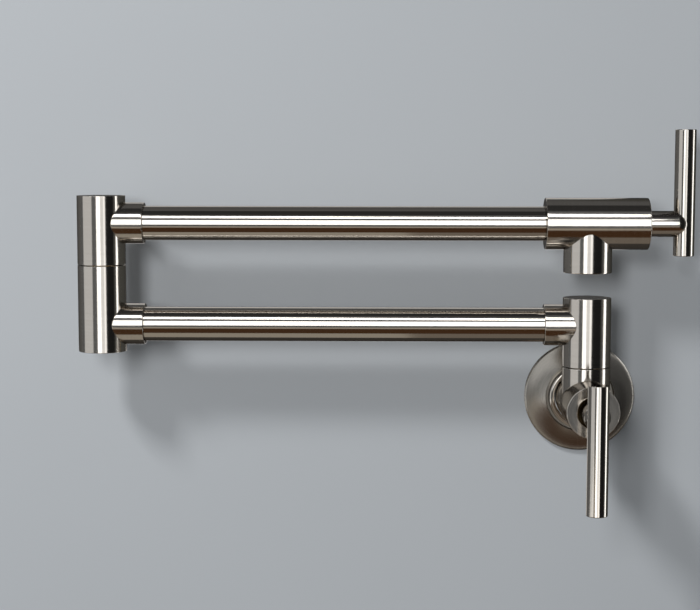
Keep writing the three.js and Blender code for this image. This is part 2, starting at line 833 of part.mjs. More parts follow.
function addLowerArm(parent) {
  const pivot = groupAt(0, -wallStandoff, stubHeight);
  addSwivelShaft(pivot, "wall");
  const sleeve = groupAt(0, 0, 0);
  sleeve.rotation.z = Math.PI;
  addPivotSleeve(sleeve, "lower_pivot");
  pivot.add(sleeve);
  const arm = groupAt(-armReach, -wallStandoff, lowerArmHeight);
  addPiece(arm, "lower_arm_tube", armTube(), polishedTube);
  addPiece(arm, "elbow_lower_sleeve", elbowLowerSleeve(), brushedNickel);
  addElbowPlug(arm);
  parent.add(pivot, arm);
}

// The plug under the elbow, with a socket for its key and a groove round it for its seal.
function addElbowPlug(parent) {
  const radius = capSeat - fit;
  const middle = -postEnd + plugThickness / 2;
  const top = -postEnd + plugThickness;
  const groove = sealHeight / 2;
  const deep = radius - sealSection - fit;
  const profile = [
    [0, -postEnd],
    [radius, -postEnd],
    [radius, middle - groove],
    [deep, middle - groove],
    [deep, middle + groove],
    [radius, middle + groove],
    [radius, top],
    [0, top],
  ];
  const keyHigh = -postEnd + plugKeyDepth;
  const key = drum(0, hexCorner(plugKey), -postEnd - past, keyHigh, 0, hexSides);
  const seal = sealRing(radius - sealSection / 2, sealSection, middle);
  addPiece(parent, "elbow_plug", solid(lathe(profile, innerSides)).subtract(key), brushedNickel);
  addPiece(parent, "elbow_plug_ring", seal, rubber);
}

function addUpperArm(parent) {
  const pivot = groupAt(-armReach, -wallStandoff, lowerArmHeight + elbowSeam);
  addSwivelShaft(pivot, "elbow");
  addPivotSleeve(pivot, "elbow_upper");
  const arm = groupAt(-armReach, -wallStandoff, upperArmHeight);
  addPiece(arm, "upper_arm_tube", upperArmTube(), polishedTube);
  parent.add(pivot, arm);
}

// The upper tube runs from the elbow's stop to the one inside the outlet valve.
function upperArmTube() {
  const start = tubeStop + fit;
  const end = armReach - seatRear - fit;
  return drumAlongX(tubeBore, tubeRadius, start, end, 0);
}

function addOutletValve(parent) {
  const down = new THREE.Vector3(0, 0, -1);
  const right = new THREE.Vector3(1, 0, 0);
  const valve = valveGroup(down, right, 0, -wallStandoff, upperArmHeight);
  addPiece(valve, "outlet_valve_body", outletValveBody(), brushedNickel);
  addValveInside(valve, "outlet");
  addHandle(valve, "outlet", outletStemReach, 1);
  addPiece(valve, "aerator_housing", aeratorHousing(), brass);
  addPiece(valve, "aerator_screen", aeratorScreen(), whitePlastic);
  addPiece(valve, "aerator_washer", aeratorWasher(), rubber);
  parent.add(valve);
}

const potFiller = new THREE.Group();
addWallFixing(potFiller);
addWallValve(potFiller);
addLowerArm(potFiller);
addUpperArm(potFiller);
addOutletValve(potFiller);

export default potFiller;
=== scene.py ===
# Looks for the wall mounted pot filler: smooth surfaces, metal finishes, a wall and studio light
import json
import math

import bpy
import numpy as np
from mathutils import Matrix, Vector


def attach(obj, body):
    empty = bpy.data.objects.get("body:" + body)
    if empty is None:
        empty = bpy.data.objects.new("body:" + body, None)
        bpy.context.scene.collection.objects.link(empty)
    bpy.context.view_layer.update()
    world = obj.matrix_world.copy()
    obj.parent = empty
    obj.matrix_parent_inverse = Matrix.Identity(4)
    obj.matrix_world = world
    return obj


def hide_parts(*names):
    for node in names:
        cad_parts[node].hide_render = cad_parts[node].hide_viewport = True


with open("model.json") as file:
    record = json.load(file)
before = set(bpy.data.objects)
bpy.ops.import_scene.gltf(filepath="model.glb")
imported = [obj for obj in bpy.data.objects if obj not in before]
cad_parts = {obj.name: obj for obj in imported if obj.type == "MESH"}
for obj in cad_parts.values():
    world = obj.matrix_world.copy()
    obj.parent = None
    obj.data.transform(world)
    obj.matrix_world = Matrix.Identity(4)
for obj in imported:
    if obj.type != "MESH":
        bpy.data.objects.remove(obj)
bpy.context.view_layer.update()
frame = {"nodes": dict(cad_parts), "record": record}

mm = 0.001
tiny = 1e-6
nodes = frame["nodes"]
collection = bpy.context.scene.collection

# The camera is fitted to the outlines of the posts, tubes and handles.
cameraSettings = {
    "place": (-121.2, -933.2, 144.5),  # mm
    "pitchDown": 0.096,
    "yaw": -0.0185,
    "roll": 0.0009,
    "focal": 1554.0,  # pixels
    "pictureWide": 700,  # pixels
    "sensor": 36.0,  # mm
    "near": 0.01,
    "far": 50.0,
}


def makeCamera(settings):
    pitch, yaw, roll = settings["pitchDown"], settings["yaw"], settings["roll"]
    forward = np.array([math.sin(yaw) * math.cos(pitch), math.cos(yaw) * math.cos(pitch), -math.sin(pitch)])
    level = np.array([math.cos(yaw), -math.sin(yaw), 0.0])
    raised = np.cross(level, forward)
    right = math.cos(roll) * level + math.sin(roll) * raised
    up = -math.sin(roll) * level + math.cos(roll) * raised
    turn = Matrix(np.stack([right, up, -forward], 1).tolist()).to_4x4()
    data = bpy.data.cameras.new("camera")
    data.sensor_width = settings["sensor"]
    data.lens = settings["focal"] / settings["pictureWide"] * settings["sensor"]
    data.clip_start, data.clip_end = settings["near"], settings["far"]
    camera = bpy.data.objects.new("camera", data)
    camera.matrix_world = Matrix.Translation(Vector(settings["place"]) * mm) @ turn
    collection.objects.link(camera)
    bpy.context.scene.camera = camera


makeCamera(cameraSettings)
print("camera placed")

# Where the turned pieces stand: an origin in mm, and the directions of the piece's own x, y and z.
wallDepth = 30.8  # from the wall to the plane of the arms
armReach = 282.8  # from axis to axis
stubHeight = 22.0  # from the valve's axis to the seam under the first post
seamToArm = 24.3
armSpacing = 58.9
lowerAxis = stubHeight + seamToArm
upperAxis = lowerAxis + armSpacing
xWay, yWay, zWay = np.eye(3)


def spot(x, y, z, ownX, ownY, ownZ):
    return {"origin": np.array([x, y, z], float), "ways": np.stack([ownX, ownY, ownZ])}


places = {
    "fixing": spot(0, 0, 0, xWay, zWay, -yWay),  # z runs from the wall into the room
    "wallValve": spot(0, -wallDepth, 0, zWay, -xWay, -yWay),
    "wallStub": spot(0, -wallDepth, 0, yWay, -xWay, zWay),
    "wallPost": spot(0, -wallDepth, stubHeight, xWay, yWay, zWay),
    "wallFerrule": spot(0, -wallDepth, lowerAxis, zWay, yWay, -xWay),
    "lowerTube": spot(-armReach, -wallDepth, lowerAxis, zWay, -yWay, xWay),
    "elbowLower": spot(-armReach, -wallDepth, lowerAxis, xWay, yWay, zWay),
    "elbowUpper": spot(-armReach, -wallDepth, lowerAxis + armSpacing - seamToArm, xWay, yWay, zWay),
    "upperTube": spot(-armReach, -wallDepth, upperAxis, zWay, -yWay, xWay),
    "outletValve": spot(0, -wallDepth, upperAxis, -zWay, yWay, xWay),
    "spout": spot(0, -wallDepth, upperAxis, xWay, -yWay, -zWay),
}


def placed(points, place):
    return place["origin"] + points @ place["ways"]


easing = {
    "steps": 4,  # on each eased corner
    "mostCut": 0.42,  # of a side
    "hold": 1.16,  # where the point that keeps a flat lies, in lengths of the cut
}


# An outline whose corners are eased. Each corner with an ease above 0 becomes a quadratic curve from a point
# that far back on one side to a point that far along the other: (1 - t)^2 * start + 2 * t * (1 - t) * corner
# + t^2 * end. One more point on each side keeps the flat next to it flat. The second result is 1 on the eased
# edges and 0 elsewhere.
def easedOutline(corners, ease, closed=True):
    steps, mostCut, hold = easing["steps"], easing["mostCut"], easing["hold"]
    corner = np.asarray(corners, float)
    ease = np.asarray(ease, float)[:, None]
    before = np.roll(corner, 1, 0) - corner
    after = np.roll(corner, -1, 0) - corner
    longBefore = np.linalg.norm(before, axis=1, keepdims=True)
    longAfter = np.linalg.norm(after, axis=1, keepdims=True)
    back = before / longBefore * np.minimum(ease, mostCut * longBefore)
    onward = after / longAfter * np.minimum(ease, mostCut * longAfter)
    start, end = (corner + back)[:, None], (corner + onward)[:, None]
    t = np.linspace(0, 1, steps + 1)[None, :, None]
    curve = (1 - t) ** 2 * start + 2 * t * (1 - t) * corner[:, None] + t**2 * end
    points = np.concatenate([(corner + back * hold)[:, None], curve, (corner + onward * hold)[:, None]], 1)
    # painted highlight: the eased edges are marked 1 here, and brushedMetal paints them paler
    edgeHighlight = np.concatenate([[0], np.ones(steps + 1), [0]])[None, :] * np.ones_like(ease)
    single = np.arange(steps + 3) == (steps + 3) // 2
    eased = ease[:, 0] > 0
    if not closed:
        eased[[0, -1]] = False
    keep = eased[:, None] | single[None, :]
    points[~eased] = corner[~eased][:, None]
    edgeHighlight[~eased] = 0
    return points[keep], edgeHighlight[keep]


# Four-sided faces between the rows and columns of a grid whose columns close on themselves.
def gridFaces(rows, columns, closed):
    row = np.arange(rows if closed else rows - 1)[:, None]
    column = np.arange(columns)[None, :]
    here, above = row * columns, (row + 1) % rows * columns
    beside = (column + 1) % columns
    corners = [here + column, here + beside, above + beside, above + column]
    return np.stack(np.broadcast_arrays(*corners), -1).reshape(-1, 4)


# Puts points and faces into a mesh object, in metres, with the faces turned outwards.
def putPiece(name, points, faces, body, material, replaced, edgeHighlight=None):
    first, second, third, last = (points[faces[:, i]] for i in range(4))
    volume = np.einsum("ij,ij->i", first, np.cross(second, third)).sum()
    volume += np.einsum("ij,ij->i", first, np.cross(third, last)).sum()
    if volume < 0:
        faces = faces[:, ::-1]
    mesh = bpy.data.meshes.new(name)
    mesh.from_pydata((points * mm).tolist(), [], [list(dict.fromkeys(face)) for face in faces.tolist()])
    mesh.polygons.foreach_set("use_smooth", np.ones(len(mesh.polygons), bool))
    if edgeHighlight is not None:
        mesh.attributes.new("edgeHighlight", "FLOAT", "POINT").data.foreach_set("value", edgeHighlight.astype(np.float32))
    mesh.update()
    piece = bpy.data.objects.new(name, mesh)
    collection.objects.link(piece)
    mesh.materials.append(material)
    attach(piece, body)
    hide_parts(replaced)
    piece.name = name


# A surface of revolution. Each outline point is (radius, height) or (radius, height, share): the point goes
# round the piece's z axis at that radius and height. With a share, the height drops by that share of the gap
# between a level plane and a cylinder of the radius cross that lies along the piece's x axis, which fits the
# end to that cylinder: height + share * (sqrt(cross^2 - y^2) - cross). Where it is keyed, the share draws the
# ring out to a hexagon instead: radius * (1 + share * (1 / cos(a) - 1)), with the angle a from the middle of
# the nearest side.
def turnedPoints(outline, angle, cross=None, keyed=False):
    radius, height = outline[:, 0:1], outline[:, 1:2]
    if keyed:
        sideAngle = (angle + np.pi / 6) % (np.pi / 3) - np.pi / 6
        radius = radius * (1 + outline[:, 2:3] * (1 / np.cos(sideAngle) - 1))
    x, y = radius * np.cos(angle), radius * np.sin(angle)
    z = height + 0 * angle
    if cross is not None:
        z = z + outline[:, 2:3] * (np.sqrt(cross**2 - y**2) - cross)
    return np.stack([x, y, z], -1)


# Where the grid's lines run at a hole in a turned piece's side: their distances from the hole's middle. Two
# lie close together at its rim, for its wall.
def holeLines(hole):
    inside = np.linspace(0, hole["radius"] - hole["wall"], hole["linesInside"])
    outside = hole["radius"] + np.array([0, *hole["linesOutside"], hole["blend"]])
    half = np.concatenate([inside, outside])
    return np.concatenate([-half[:0:-1], half])


# A round hole in the side of a turned piece. A square of the grid's lines at the distance m = max(|across|,
# |along|) from the hole's middle becomes a circle of radius m, and turns back into a square over the blend
# outside the rim. Inside the rim the surface lies on the hole's floor.
def drilled(points, outline, angle, hole):
    across = hole["side"] * (angle - hole["way"])[None, :] + 0 * outline[:, :1]
    along = outline[:, 1:2] - hole["height"] + 0 * across
    square = np.maximum(np.abs(across), np.abs(along))
    circle = square / np.maximum(np.hypot(across, along), tiny)
    share = circle + (1 - circle) * np.clip((square - hole["radius"]) / hole["blend"], 0, 1)
    turn = across * share / hole["side"]
    deep = np.where(square < hole["radius"] - hole["wall"] / 2, hole["floor"], hole["side"] * np.cos(turn))
    aside = hole["side"] * np.sin(turn)
    x = deep * math.cos(hole["way"]) - aside * math.sin(hole["way"])
    y = deep * math.sin(hole["way"]) + aside * math.cos(hole["way"])
    near = square < hole["radius"] + hole["blend"] + tiny
    return np.where(near[..., None], np.stack([x, y, hole["height"] + along * share], -1), points)


# One vertex for each row that lies on the axis, so that a pole is closed.
def closePoles(points, faces, edgeHighlight, rows, columns, onAxis):
    index = np.arange(rows * columns).reshape(rows, columns)
    index[onAxis] = index[onAxis][:, :1]
    used, short = np.unique(index.ravel()[faces], return_inverse=True)
    return points[used], short.reshape(faces.shape), edgeHighlight[used]


# A piece turned on a lathe. Each corner of its outline is (radius, height, ease) or (radius, height, ease,
# share) in mm, with the share that turnedPoints takes. An outline that isn't closed starts and ends on the
# axis.
def turnedPiece(
    name, place, corners, body, slot, material, replaced, closed=True, sides=144, cross=None, keyed=False,
    hole=None,
):
    corners = np.asarray(corners, float)
    outline, edgeHighlightRow = easedOutline(np.delete(corners, 2, 1), corners[:, 2], closed)
    angle = np.linspace(0, 2 * np.pi, sides, endpoint=False)
    if hole:
        lines = holeLines(hole) / hole["side"]
        rest = np.linspace(lines[-1], 2 * np.pi + lines[0], sides)[1:-1]
        angle = hole["way"] + np.concatenate([lines, rest])
    points = turnedPoints(outline, angle, cross, keyed)
    if hole:
        wrapped = hole["way"] + (angle - hole["way"] + np.pi) % (2 * np.pi) - np.pi
        points = drilled(points, outline, wrapped, hole)
    rows, columns = len(outline), len(angle)
    faces = gridFaces(rows, columns, closed)
    edgeHighlight = np.repeat(edgeHighlightRow, columns)
    points, faces, edgeHighlight = closePoles(points.reshape(-1, 3), faces, edgeHighlight, rows, columns, outline[:, 0] < tiny)
    putPiece(name, placed(points, places[place]), faces, body, material, replaced, edgeHighlight)


# The corners of a plain ring, or of a rod where its inner radius is 0, each with its ease.
def ringCorners(inner, outer, low, top, eases):
    return [(inner, low, eases[0]), (outer, low, eases[1]), (outer, top, eases[2]), (inner, top, eases[3])]


# A socket in a material. Arithmetic on it adds Math nodes.
class Shade:
    def __init__(self, tree, socket=None):
        self.tree = tree
        self.socket = socket

    def node(self, kind, settings, inputs, output=0):
        made = self.tree.nodes.new(kind)
        for key, value in settings.items():
            setattr(made, key, value)
        for key, value in inputs.items():
            if isinstance(value, Shade):
                self.tree.links.new(value.socket, made.inputs[key])
            else:
                made.inputs[key].default_value = value
        return Shade(self.tree, made.outputs[output] if made.outputs else None)

    def maths(self, operation, first, second=0.0, clamp=False):
        settings = {"operation": operation, "use_clamp": clamp}
        return self.node("ShaderNodeMath", settings, {0: first, 1: second})

    def vectorMaths(self, operation, sockets, output="Vector"):
        return self.node("ShaderNodeVectorMath", {"operation": operation}, sockets, output)

    def __add__(self, other):
        return self.maths("ADD", self, other)

    __radd__ = __add__

    def __sub__(self, other):
        return self.maths("SUBTRACT", self, other)

    def __rsub__(self, other):
        return self.maths("SUBTRACT", other, self)

    def __mul__(self, other):
        return self.maths("MULTIPLY", self, other)

    __rmul__ = __mul__

    def __pow__(self, other):
        return self.maths("POWER", self, other)

    def __rpow__(self, other):
        return self.maths("POWER", other, self)

    def mixColour(self, factor, first, second):
        return self.node("ShaderNodeMix", {"data_type": "RGBA"}, {"Factor": factor, 6: first, 7: second}, 2)

    def noise(self, vector, scale=1.0, detail=2.0, roughness=0.5):
        sockets = {"Vector": vector, "Scale": scale, "Detail": detail, "Roughness": roughness}
        return self.node("ShaderNodeTexNoise", {}, sockets)

    def bump(self, height, depth):
        sockets = {"Height": height, "Strength": 1.0, "Distance": depth * mm}
        return self.node("ShaderNodeBump", {}, sockets, "Normal")


def newMaterial(name):
    material = bpy.data.materials.new(name)
    material.use_nodes = True
    tree = material.node_tree
    tree.nodes.clear()
    return material, Shade(tree)


def finishMaterial(start, shader):
    start.node("ShaderNodeOutputMaterial", {}, {"Surface": shader})


def tinted(colour, share):
    return tuple(part * share for part in colour[:3]) + (1,)


nickelLook = {
    "colour": (0.67, 0.626, 0.57, 1),
    "paleColour": (0.75, 0.71, 0.655, 1),
    "edgeTint": (0.45, 0.44, 0.43, 1),
    "roughness": 0.12,
    "lineSpacing": 0.22,  # mm
    "lineDepth": 0.0011,  # mm
    "smudge": 0.05,
}
brushing = {
    "lengthwise": 160,  # length of the lines along a tube, in widths
    "drift": (90, 60),  # how much more slowly lines round an axis change across it
    "broad": 0.17,  # scale of the broad streaks against the fine lines
    "fineShare": 0.5,
    "broadShare": 0.9,
    "tone": 0.45,  # middle of the mix of the two colours
    "toneSpread": 0.55,
    "highlightTone": 0.45,  # eased edges are painted paler, a painted highlight
    "edgePolish": 0.25,  # and smoother
    "darkShare": 0.93,
    "roughSpread": 0.05,
    "handScale": 34.0,  # handling marks, per metre
}


# Brushed metal. The lines run round the axis of the place, so they change fast with the distance from the
# axis and with the height along it, and slowly with the position round it. Along a tube they run lengthwise.
def brushedMetal(name, place, look, lengthwise=False, **changes):
    look = {**look, **changes}
    b = brushing
    material, start = newMaterial(name)
    where = places[place]
    position = start.node("ShaderNodeTexCoord", {}, {}, "Object")
    centred = start.vectorMaths("SUBTRACT", {0: position, 1: tuple(where["origin"] * mm)})
    acrossX, acrossY, along = [
        start.vectorMaths("DOT_PRODUCT", {0: centred, 1: tuple(way)}, "Value") for way in where["ways"]
    ]
    radius = (acrossX * acrossX + acrossY * acrossY) ** 0.5
    fine = 1 / (look["lineSpacing"] * mm)
    if lengthwise:
        parts = {0: acrossX * fine, 1: acrossY * fine, 2: along * (fine / b["lengthwise"])}
    else:
        driftX, driftY = b["drift"]
        parts = {0: radius * fine, 1: along * fine + acrossX * (fine / driftX), 2: acrossY * (fine / driftY)}
    lineVector = start.node("ShaderNodeCombineXYZ", {}, parts)
    lines = start.noise(lineVector)
    broad = start.noise(start.vectorMaths("SCALE", {0: lineVector, "Scale": b["broad"]}), detail=1.0)
    hand = start.noise(position, b["handScale"], detail=3.0, roughness=0.6)
    edgeHighlight = start.node("ShaderNodeAttribute", {"attribute_name": "edgeHighlight"}, {}, "Fac")
    streak = (lines - 0.5) * b["fineShare"] + (broad - 0.5) * b["broadShare"]
    # painted highlight: a paler colour on the eased edges, which are also made smoother
    shade = start.maths("ADD", streak * b["toneSpread"] + b["tone"], edgeHighlight * b["highlightTone"], clamp=True)
    marks = (hand - 0.5) * look["smudge"] - edgeHighlight * (look["roughness"] * b["edgePolish"])
    rough = start.maths("ADD", streak * b["roughSpread"] + look["roughness"], marks, clamp=True)
    shader = start.node("ShaderNodeBsdfPrincipled", {}, {
        "Base Color": start.mixColour(shade, tinted(look["colour"], b["darkShare"]), look["paleColour"]),
        "Metallic": 1.0,
        "Roughness": rough,
        "Specular Tint": look["edgeTint"],
        "Normal": start.bump(lines, look["lineDepth"]),
    })
    finishMaterial(start, shader)
    return material


# A plain finish with mottled colour and roughness, for what is mostly out of sight.
def mottled(name, look, roughSpread=0.12):
    material, start = newMaterial(name)
    position = start.node("ShaderNodeTexCoord", {}, {}, "Object")
    patch = start.noise(position, look["patch"], detail=3.0)
    grain = start.noise(position, look["grain"])
    shader = start.node("ShaderNodeBsdfPrincipled", {}, {
        "Base Color": start.mixColour(patch, look["dark"], look["pale"]),
        "Metallic": look["metallic"],
        "Roughness": (patch - 0.5) * roughSpread + look["roughness"],
        "Normal": start.bump(grain, look["depth"]),
    })
    finishMaterial(start, shader)
    return material


brassLook = {
    "colour": (0.78, 0.56, 0.26, 1),
    "paleColour": (0.86, 0.66, 0.36, 1),
    "edgeTint": (0.8, 0.75, 0.6, 1),
    "roughness": 0.24,
    "lineSpacing": 0.3,
    "lineDepth": 0.0015,
    "smudge": 0.05,
}
plainLooks = {  # patch and grain are noise scales per metre, and depth is in mm
    "brass": {
        "dark": (0.44, 0.29, 0.12, 1), "pale": (0.6, 0.43, 0.2, 1), "metallic": 1.0, "roughness": 0.3,
        "patch": 90, "grain": 2600, "depth": 0.002,
    },
    # painted shade: a darkened brass for the cartridge bodies, so the gap round each stem reads dark
    "painted_shade_brass": {
        "dark": (0.1, 0.07, 0.035, 1), "pale": (0.17, 0.115, 0.06, 1), "metallic": 1.0, "roughness": 0.45,
        "patch": 90, "grain": 2600, "depth": 0.003,
    },
    "spring_steel": {
        "dark": (0.36, 0.37, 0.39, 1), "pale": (0.52, 0.53, 0.55, 1), "metallic": 1.0, "roughness": 0.3,
        "patch": 140, "grain": 3000, "depth": 0.002,
    },
    "ceramic": {
        "dark": (0.78, 0.76, 0.71, 1), "pale": (0.86, 0.85, 0.81, 1), "metallic": 0.0, "roughness": 0.22,
        "patch": 120, "grain": 3500, "depth": 0.0004,
    },
    "black_rubber": {
        "dark": (0.012, 0.012, 0.013, 1), "pale": (0.028, 0.028, 0.03, 1), "metallic": 0.0, "roughness": 0.68,
        "patch": 160, "grain": 2400, "depth": 0.004,
    },
    "white_plastic": {
        "dark": (0.74, 0.73, 0.7, 1), "pale": (0.82, 0.815, 0.79, 1), "metallic": 0.0, "roughness": 0.42,
        "patch": 90, "grain": 2200, "depth": 0.002,
    },
}
plainFinish = {name: mottled(name, look) for name, look in plainLooks.items()}


def nickel(name, place, **changes):
    return brushedMetal(name, place, nickelLook, **changes)


def nickelPiece(name, place, corners, body, replaced, finish=None, **shape):
    finish = finish or nickel(name + "_finish", place)
    turnedPiece(name, place, corners, body, "brushed_nickel", finish, replaced, **shape)


print("finishes ready")

# Swivel posts with their caps. Heights count from the seam under the post.
insideEase = 0.1  # on corners that are mostly out of sight
postSize = {
    "radius": 14.0,
    "bore": 10.0,
    "top": 40.3,
    "seamHalf": 0.24,
    "seamEase": 0.22,
    "skirtBore": 12.8,
    "skirtTop": 1.8,
    "chamber": 11.5,
    "chamberLow": 14.3,
    "chamberTop": 33.2,
    "capSeat": 12.66,
    "capFloor": 36.2,
    "capLow": 38.7,
    "capGap": 0.05,
    "capEase": 0.07,
    "seatEase": 0.06,
    "edge": 0.3,
}


def addPost(name, place, body, replaced):
    p, inside = postSize, insideEase
    corners = [
        (p["skirtBore"], p["seamHalf"], inside), (p["radius"], p["seamHalf"], p["seamEase"]),
        (p["radius"], p["top"], p["edge"]), (p["capSeat"], p["top"], p["seatEase"]),
        (p["capSeat"], p["capFloor"], inside), (p["bore"], p["capFloor"], inside),
        (p["bore"], p["chamberTop"], inside), (p["chamber"], p["chamberTop"], inside),
        (p["chamber"], p["chamberLow"], inside), (p["bore"], p["chamberLow"], inside),
        (p["bore"], p["skirtTop"], inside), (p["skirtBore"], p["skirtTop"], inside),
    ]
    nickelPiece(name, place, corners, body, replaced)


def addCap(name, place, body, replaced):
    p = postSize
    eases = [0, insideEase, p["capEase"], 0]
    corners = ringCorners(0, p["capSeat"] - p["capGap"], p["capLow"], p["top"], eases)
    nickelPiece(name, place, corners, body, replaced, closed=False)


# Sleeves that stand on a round piece: ferrules on the posts, and a stub and a spout on the valve bodies. The
# inner end follows that piece, whose radius is cross, so its share is 1 there and 0 at the mouth.
branchFoot = {"radius": 14.0, "joint": 0.2, "footEase": 0.04, "jointEase": 0.1}
sleeveSizes = {
    "ferrule": {
        "radius": 12.0, "joint": 0.22, "footEase": 0.05, "jointEase": 0.12,
        "bore": 10.1, "end": 25.2, "edge": 0.45, "boreEase": 0.12,
    },
    "wallStub": {**branchFoot, "bore": 9.3, "end": 21.76, "edge": 0.22, "boreEase": 0.22},
    "spout": {**branchFoot, "bore": 12.0, "end": 28.4, "edge": 0.42, "boreEase": 0.42},
}
sleeveFit = {"sunk": 0.5, "lap": 0.02}  # how deep a sleeve and the corner of its neck reach into the piece


def addSleeve(name, place, kind, cross, body, replaced):
    s = sleeveSizes[kind]
    neck, sunk = s["radius"] - s["joint"], cross - sleeveFit["sunk"]
    corners = [
        (neck, sunk, 0, 1), (neck, cross - sleeveFit["lap"], s["footEase"], 1),
        (s["radius"], cross + s["joint"], s["jointEase"], 1), (s["radius"], s["end"], s["edge"], 0),
        (s["bore"], s["end"], s["boreEase"], 0), (s["bore"], sunk, 0, 1),
    ]
    nickelPiece(name, place, corners, body, replaced, cross=cross)


# The lower half of the elbow and the plug under it. Heights count from the axis of the lower arm.
elbowSize = {
    "low": -16.0,
    "seam": 34.6,
    "swivelBore": 9.3,
    "swivelFloor": 25.3,
    "socket": 5.8,
    "chamberTop": 10.0,
    "plugFloor": -10.7,
}
plugSize = {
    "top": -11.0,
    "ringDepth": 2.1,
    "ringLow": -14.7,
    "ringTop": -12.3,
    "keyHalf": 4.0,
    "keyTop": -13.5,
    "keyEase": (0.08, 0.16),
}


def addElbowLower(body):
    p, e, g, inside = postSize, elbowSize, plugSize, insideEase
    top = e["seam"] - p["seamHalf"]
    corners = [
        (p["capSeat"], e["low"], p["seatEase"]), (p["radius"], e["low"], p["edge"]),
        (p["radius"], top, p["seamEase"]), (e["swivelBore"], top, inside),
        (e["swivelBore"], e["swivelFloor"], inside), (e["socket"], e["swivelFloor"], inside),
        (e["socket"], e["chamberTop"], inside), (p["chamber"], e["chamberTop"], inside),
        (p["chamber"], e["plugFloor"], inside), (p["capSeat"], e["plugFloor"], inside),
    ]
    finish = nickel("elbow_lower_finish", "elbowLower")
    nickelPiece("elbow_lower_post", "elbowLower", corners, body, "elbow_lower_sleeve", finish)
    rim = p["capSeat"] - p["capGap"]
    groove = rim - g["ringDepth"]
    plug = [
        (0, g["keyTop"], 0, 0), (g["keyHalf"], g["keyTop"], g["keyEase"][0], 1),
        (g["keyHalf"], e["low"], g["keyEase"][1], 1), (rim, e["low"], p["capEase"], 0),
        (rim, g["ringLow"], inside, 0), (groove, g["ringLow"], inside, 0), (groove, g["ringTop"], inside, 0),
        (rim, g["ringTop"], inside, 0), (rim, g["top"], inside, 0), (0, g["top"], 0, 0),
    ]
    finish = nickel("elbow_plug_finish", "elbowLower")
    nickelPiece("elbow_plug_face", "elbowLower", plug, body, "elbow_plug", finish, closed=False, keyed=True)


post = postSize["radius"]
addPost("lower_pivot_post", "wallPost", "lower_arm", "lower_pivot_sleeve")
addCap("lower_pivot_lid", "wallPost", "lower_arm", "lower_pivot_cap")
addSleeve("lower_pivot_ferrule", "wallFerrule", "ferrule", post, "lower_arm", "lower_pivot_sleeve")
addElbowLower("lower_arm")
addSleeve("elbow_lower_ferrule", "lowerTube", "ferrule", post, "lower_arm", "elbow_lower_sleeve")
addPost("elbow_upper_post", "elbowUpper", "upper_arm", "elbow_upper_sleeve")
addCap("elbow_upper_lid", "elbowUpper", "upper_arm", "elbow_upper_cap")
addSleeve("elbow_upper_ferrule", "upperTube", "ferrule", post, "upper_arm", "elbow_upper_sleeve")
print("swivel posts made")

# Arm tubes, from the axis of the elbow.
tubeSize = {
    "radius": 10.0,
    "bore": 8.8,
    "start": 13.0,
    "lowerEnd": 269.8,
    "upperEnd": 265.5,
    "eases": (0.2, 0.3, 0.3, 0.2),
    "sides": 160,
}
tubePolish = {"roughness": 0.085, "lineDepth": 0.0005, "smudge": 0.03}


def addTube(name, place, end, body, replaced):
    t = tubeSize
    corners = ringCorners(t["bore"], t["radius"], t["start"], end, t["eases"])
    finish = nickel(name + "_finish", place, lengthwise=True, **tubePolish)
    turnedPiece(name, place, corners, body, "polished_tube", finish, replaced, sides=t["sides"])


addTube("lower_tube", "lowerTube", tubeSize["lowerEnd"], "lower_arm", "lower_arm_tube")
addTube("upper_tube", "upperTube", tubeSize["upperEnd"], "upper_arm", "upper_arm_tube")
print("arm tubes made")

# Valve bodies with their stub and spout. Heights count from the middle of the valve.
bodySize = {
    "radius": 15.0,
    "face": 34.3,
    "mouth": 13.61,
    "bore": 11.0,
    "boreTop": 26.3,
    "boreLow": -14.5,
    "seat": 6.0,
    "seatLow": -17.0,
    "edge": 0.38,
    "mouthEase": 0.05,
    "inletEase": 0.2,
}
barrelEnds = {
    "wallValve": {"rear": -28.8, "inlet": 10.75},
    "outletValve": {"rear": -25.0, "inlet": 10.14},
}
bonnetSize = {"outer": 13.57, "hole": 9.0, "eases": (0.2, 0.2, 0.05, 0.4)}


def addBarrel(name, place, body, replaced):
    b, inside = bodySize, insideEase
    rear, inlet = barrelEnds[place]["rear"], barrelEnds[place]["inlet"]
    corners = [
        (inlet, rear, b["inletEase"]), (b["radius"], rear, b["edge"]), (b["radius"], b["face"], b["edge"]),
        (b["mouth"], b["face"], b["mouthEase"]), (b["mouth"], b["boreTop"], inside),
        (b["bore"], b["boreTop"], inside), (b["bore"], b["boreLow"], inside),
        (b["seat"], b["boreLow"], inside), (b["seat"], b["seatLow"], inside), (inlet, b["seatLow"], inside),
    ]
    nickelPiece(name, place, corners, body, replaced)


def addBonnet(name, place, body, replaced):
    b = bonnetSize
    corners = ringCorners(b["hole"], b["outer"], bodySize["boreTop"], bodySize["face"], b["eases"])
    nickelPiece(name, place, corners, body, replaced)


barrel = bodySize["radius"]
addBarrel("wall_valve_barrel", "wallValve", "wall_mount", "wall_valve_body")
addSleeve("wall_valve_stub", "wallStub", "wallStub", barrel, "wall_mount", "wall_valve_body")
addBonnet("wall_bonnet_ring", "wallValve", "wall_mount", "wall_bonnet")
addBarrel("outlet_valve_barrel", "outletValve", "upper_arm", "outlet_valve_body")
addSleeve("outlet_spout", "spout", "spout", barrel, "upper_arm", "outlet_valve_body")
addBonnet("outlet_bonnet_ring", "outletValve", "upper_arm", "outlet_bonnet")
print("valve bodies made")

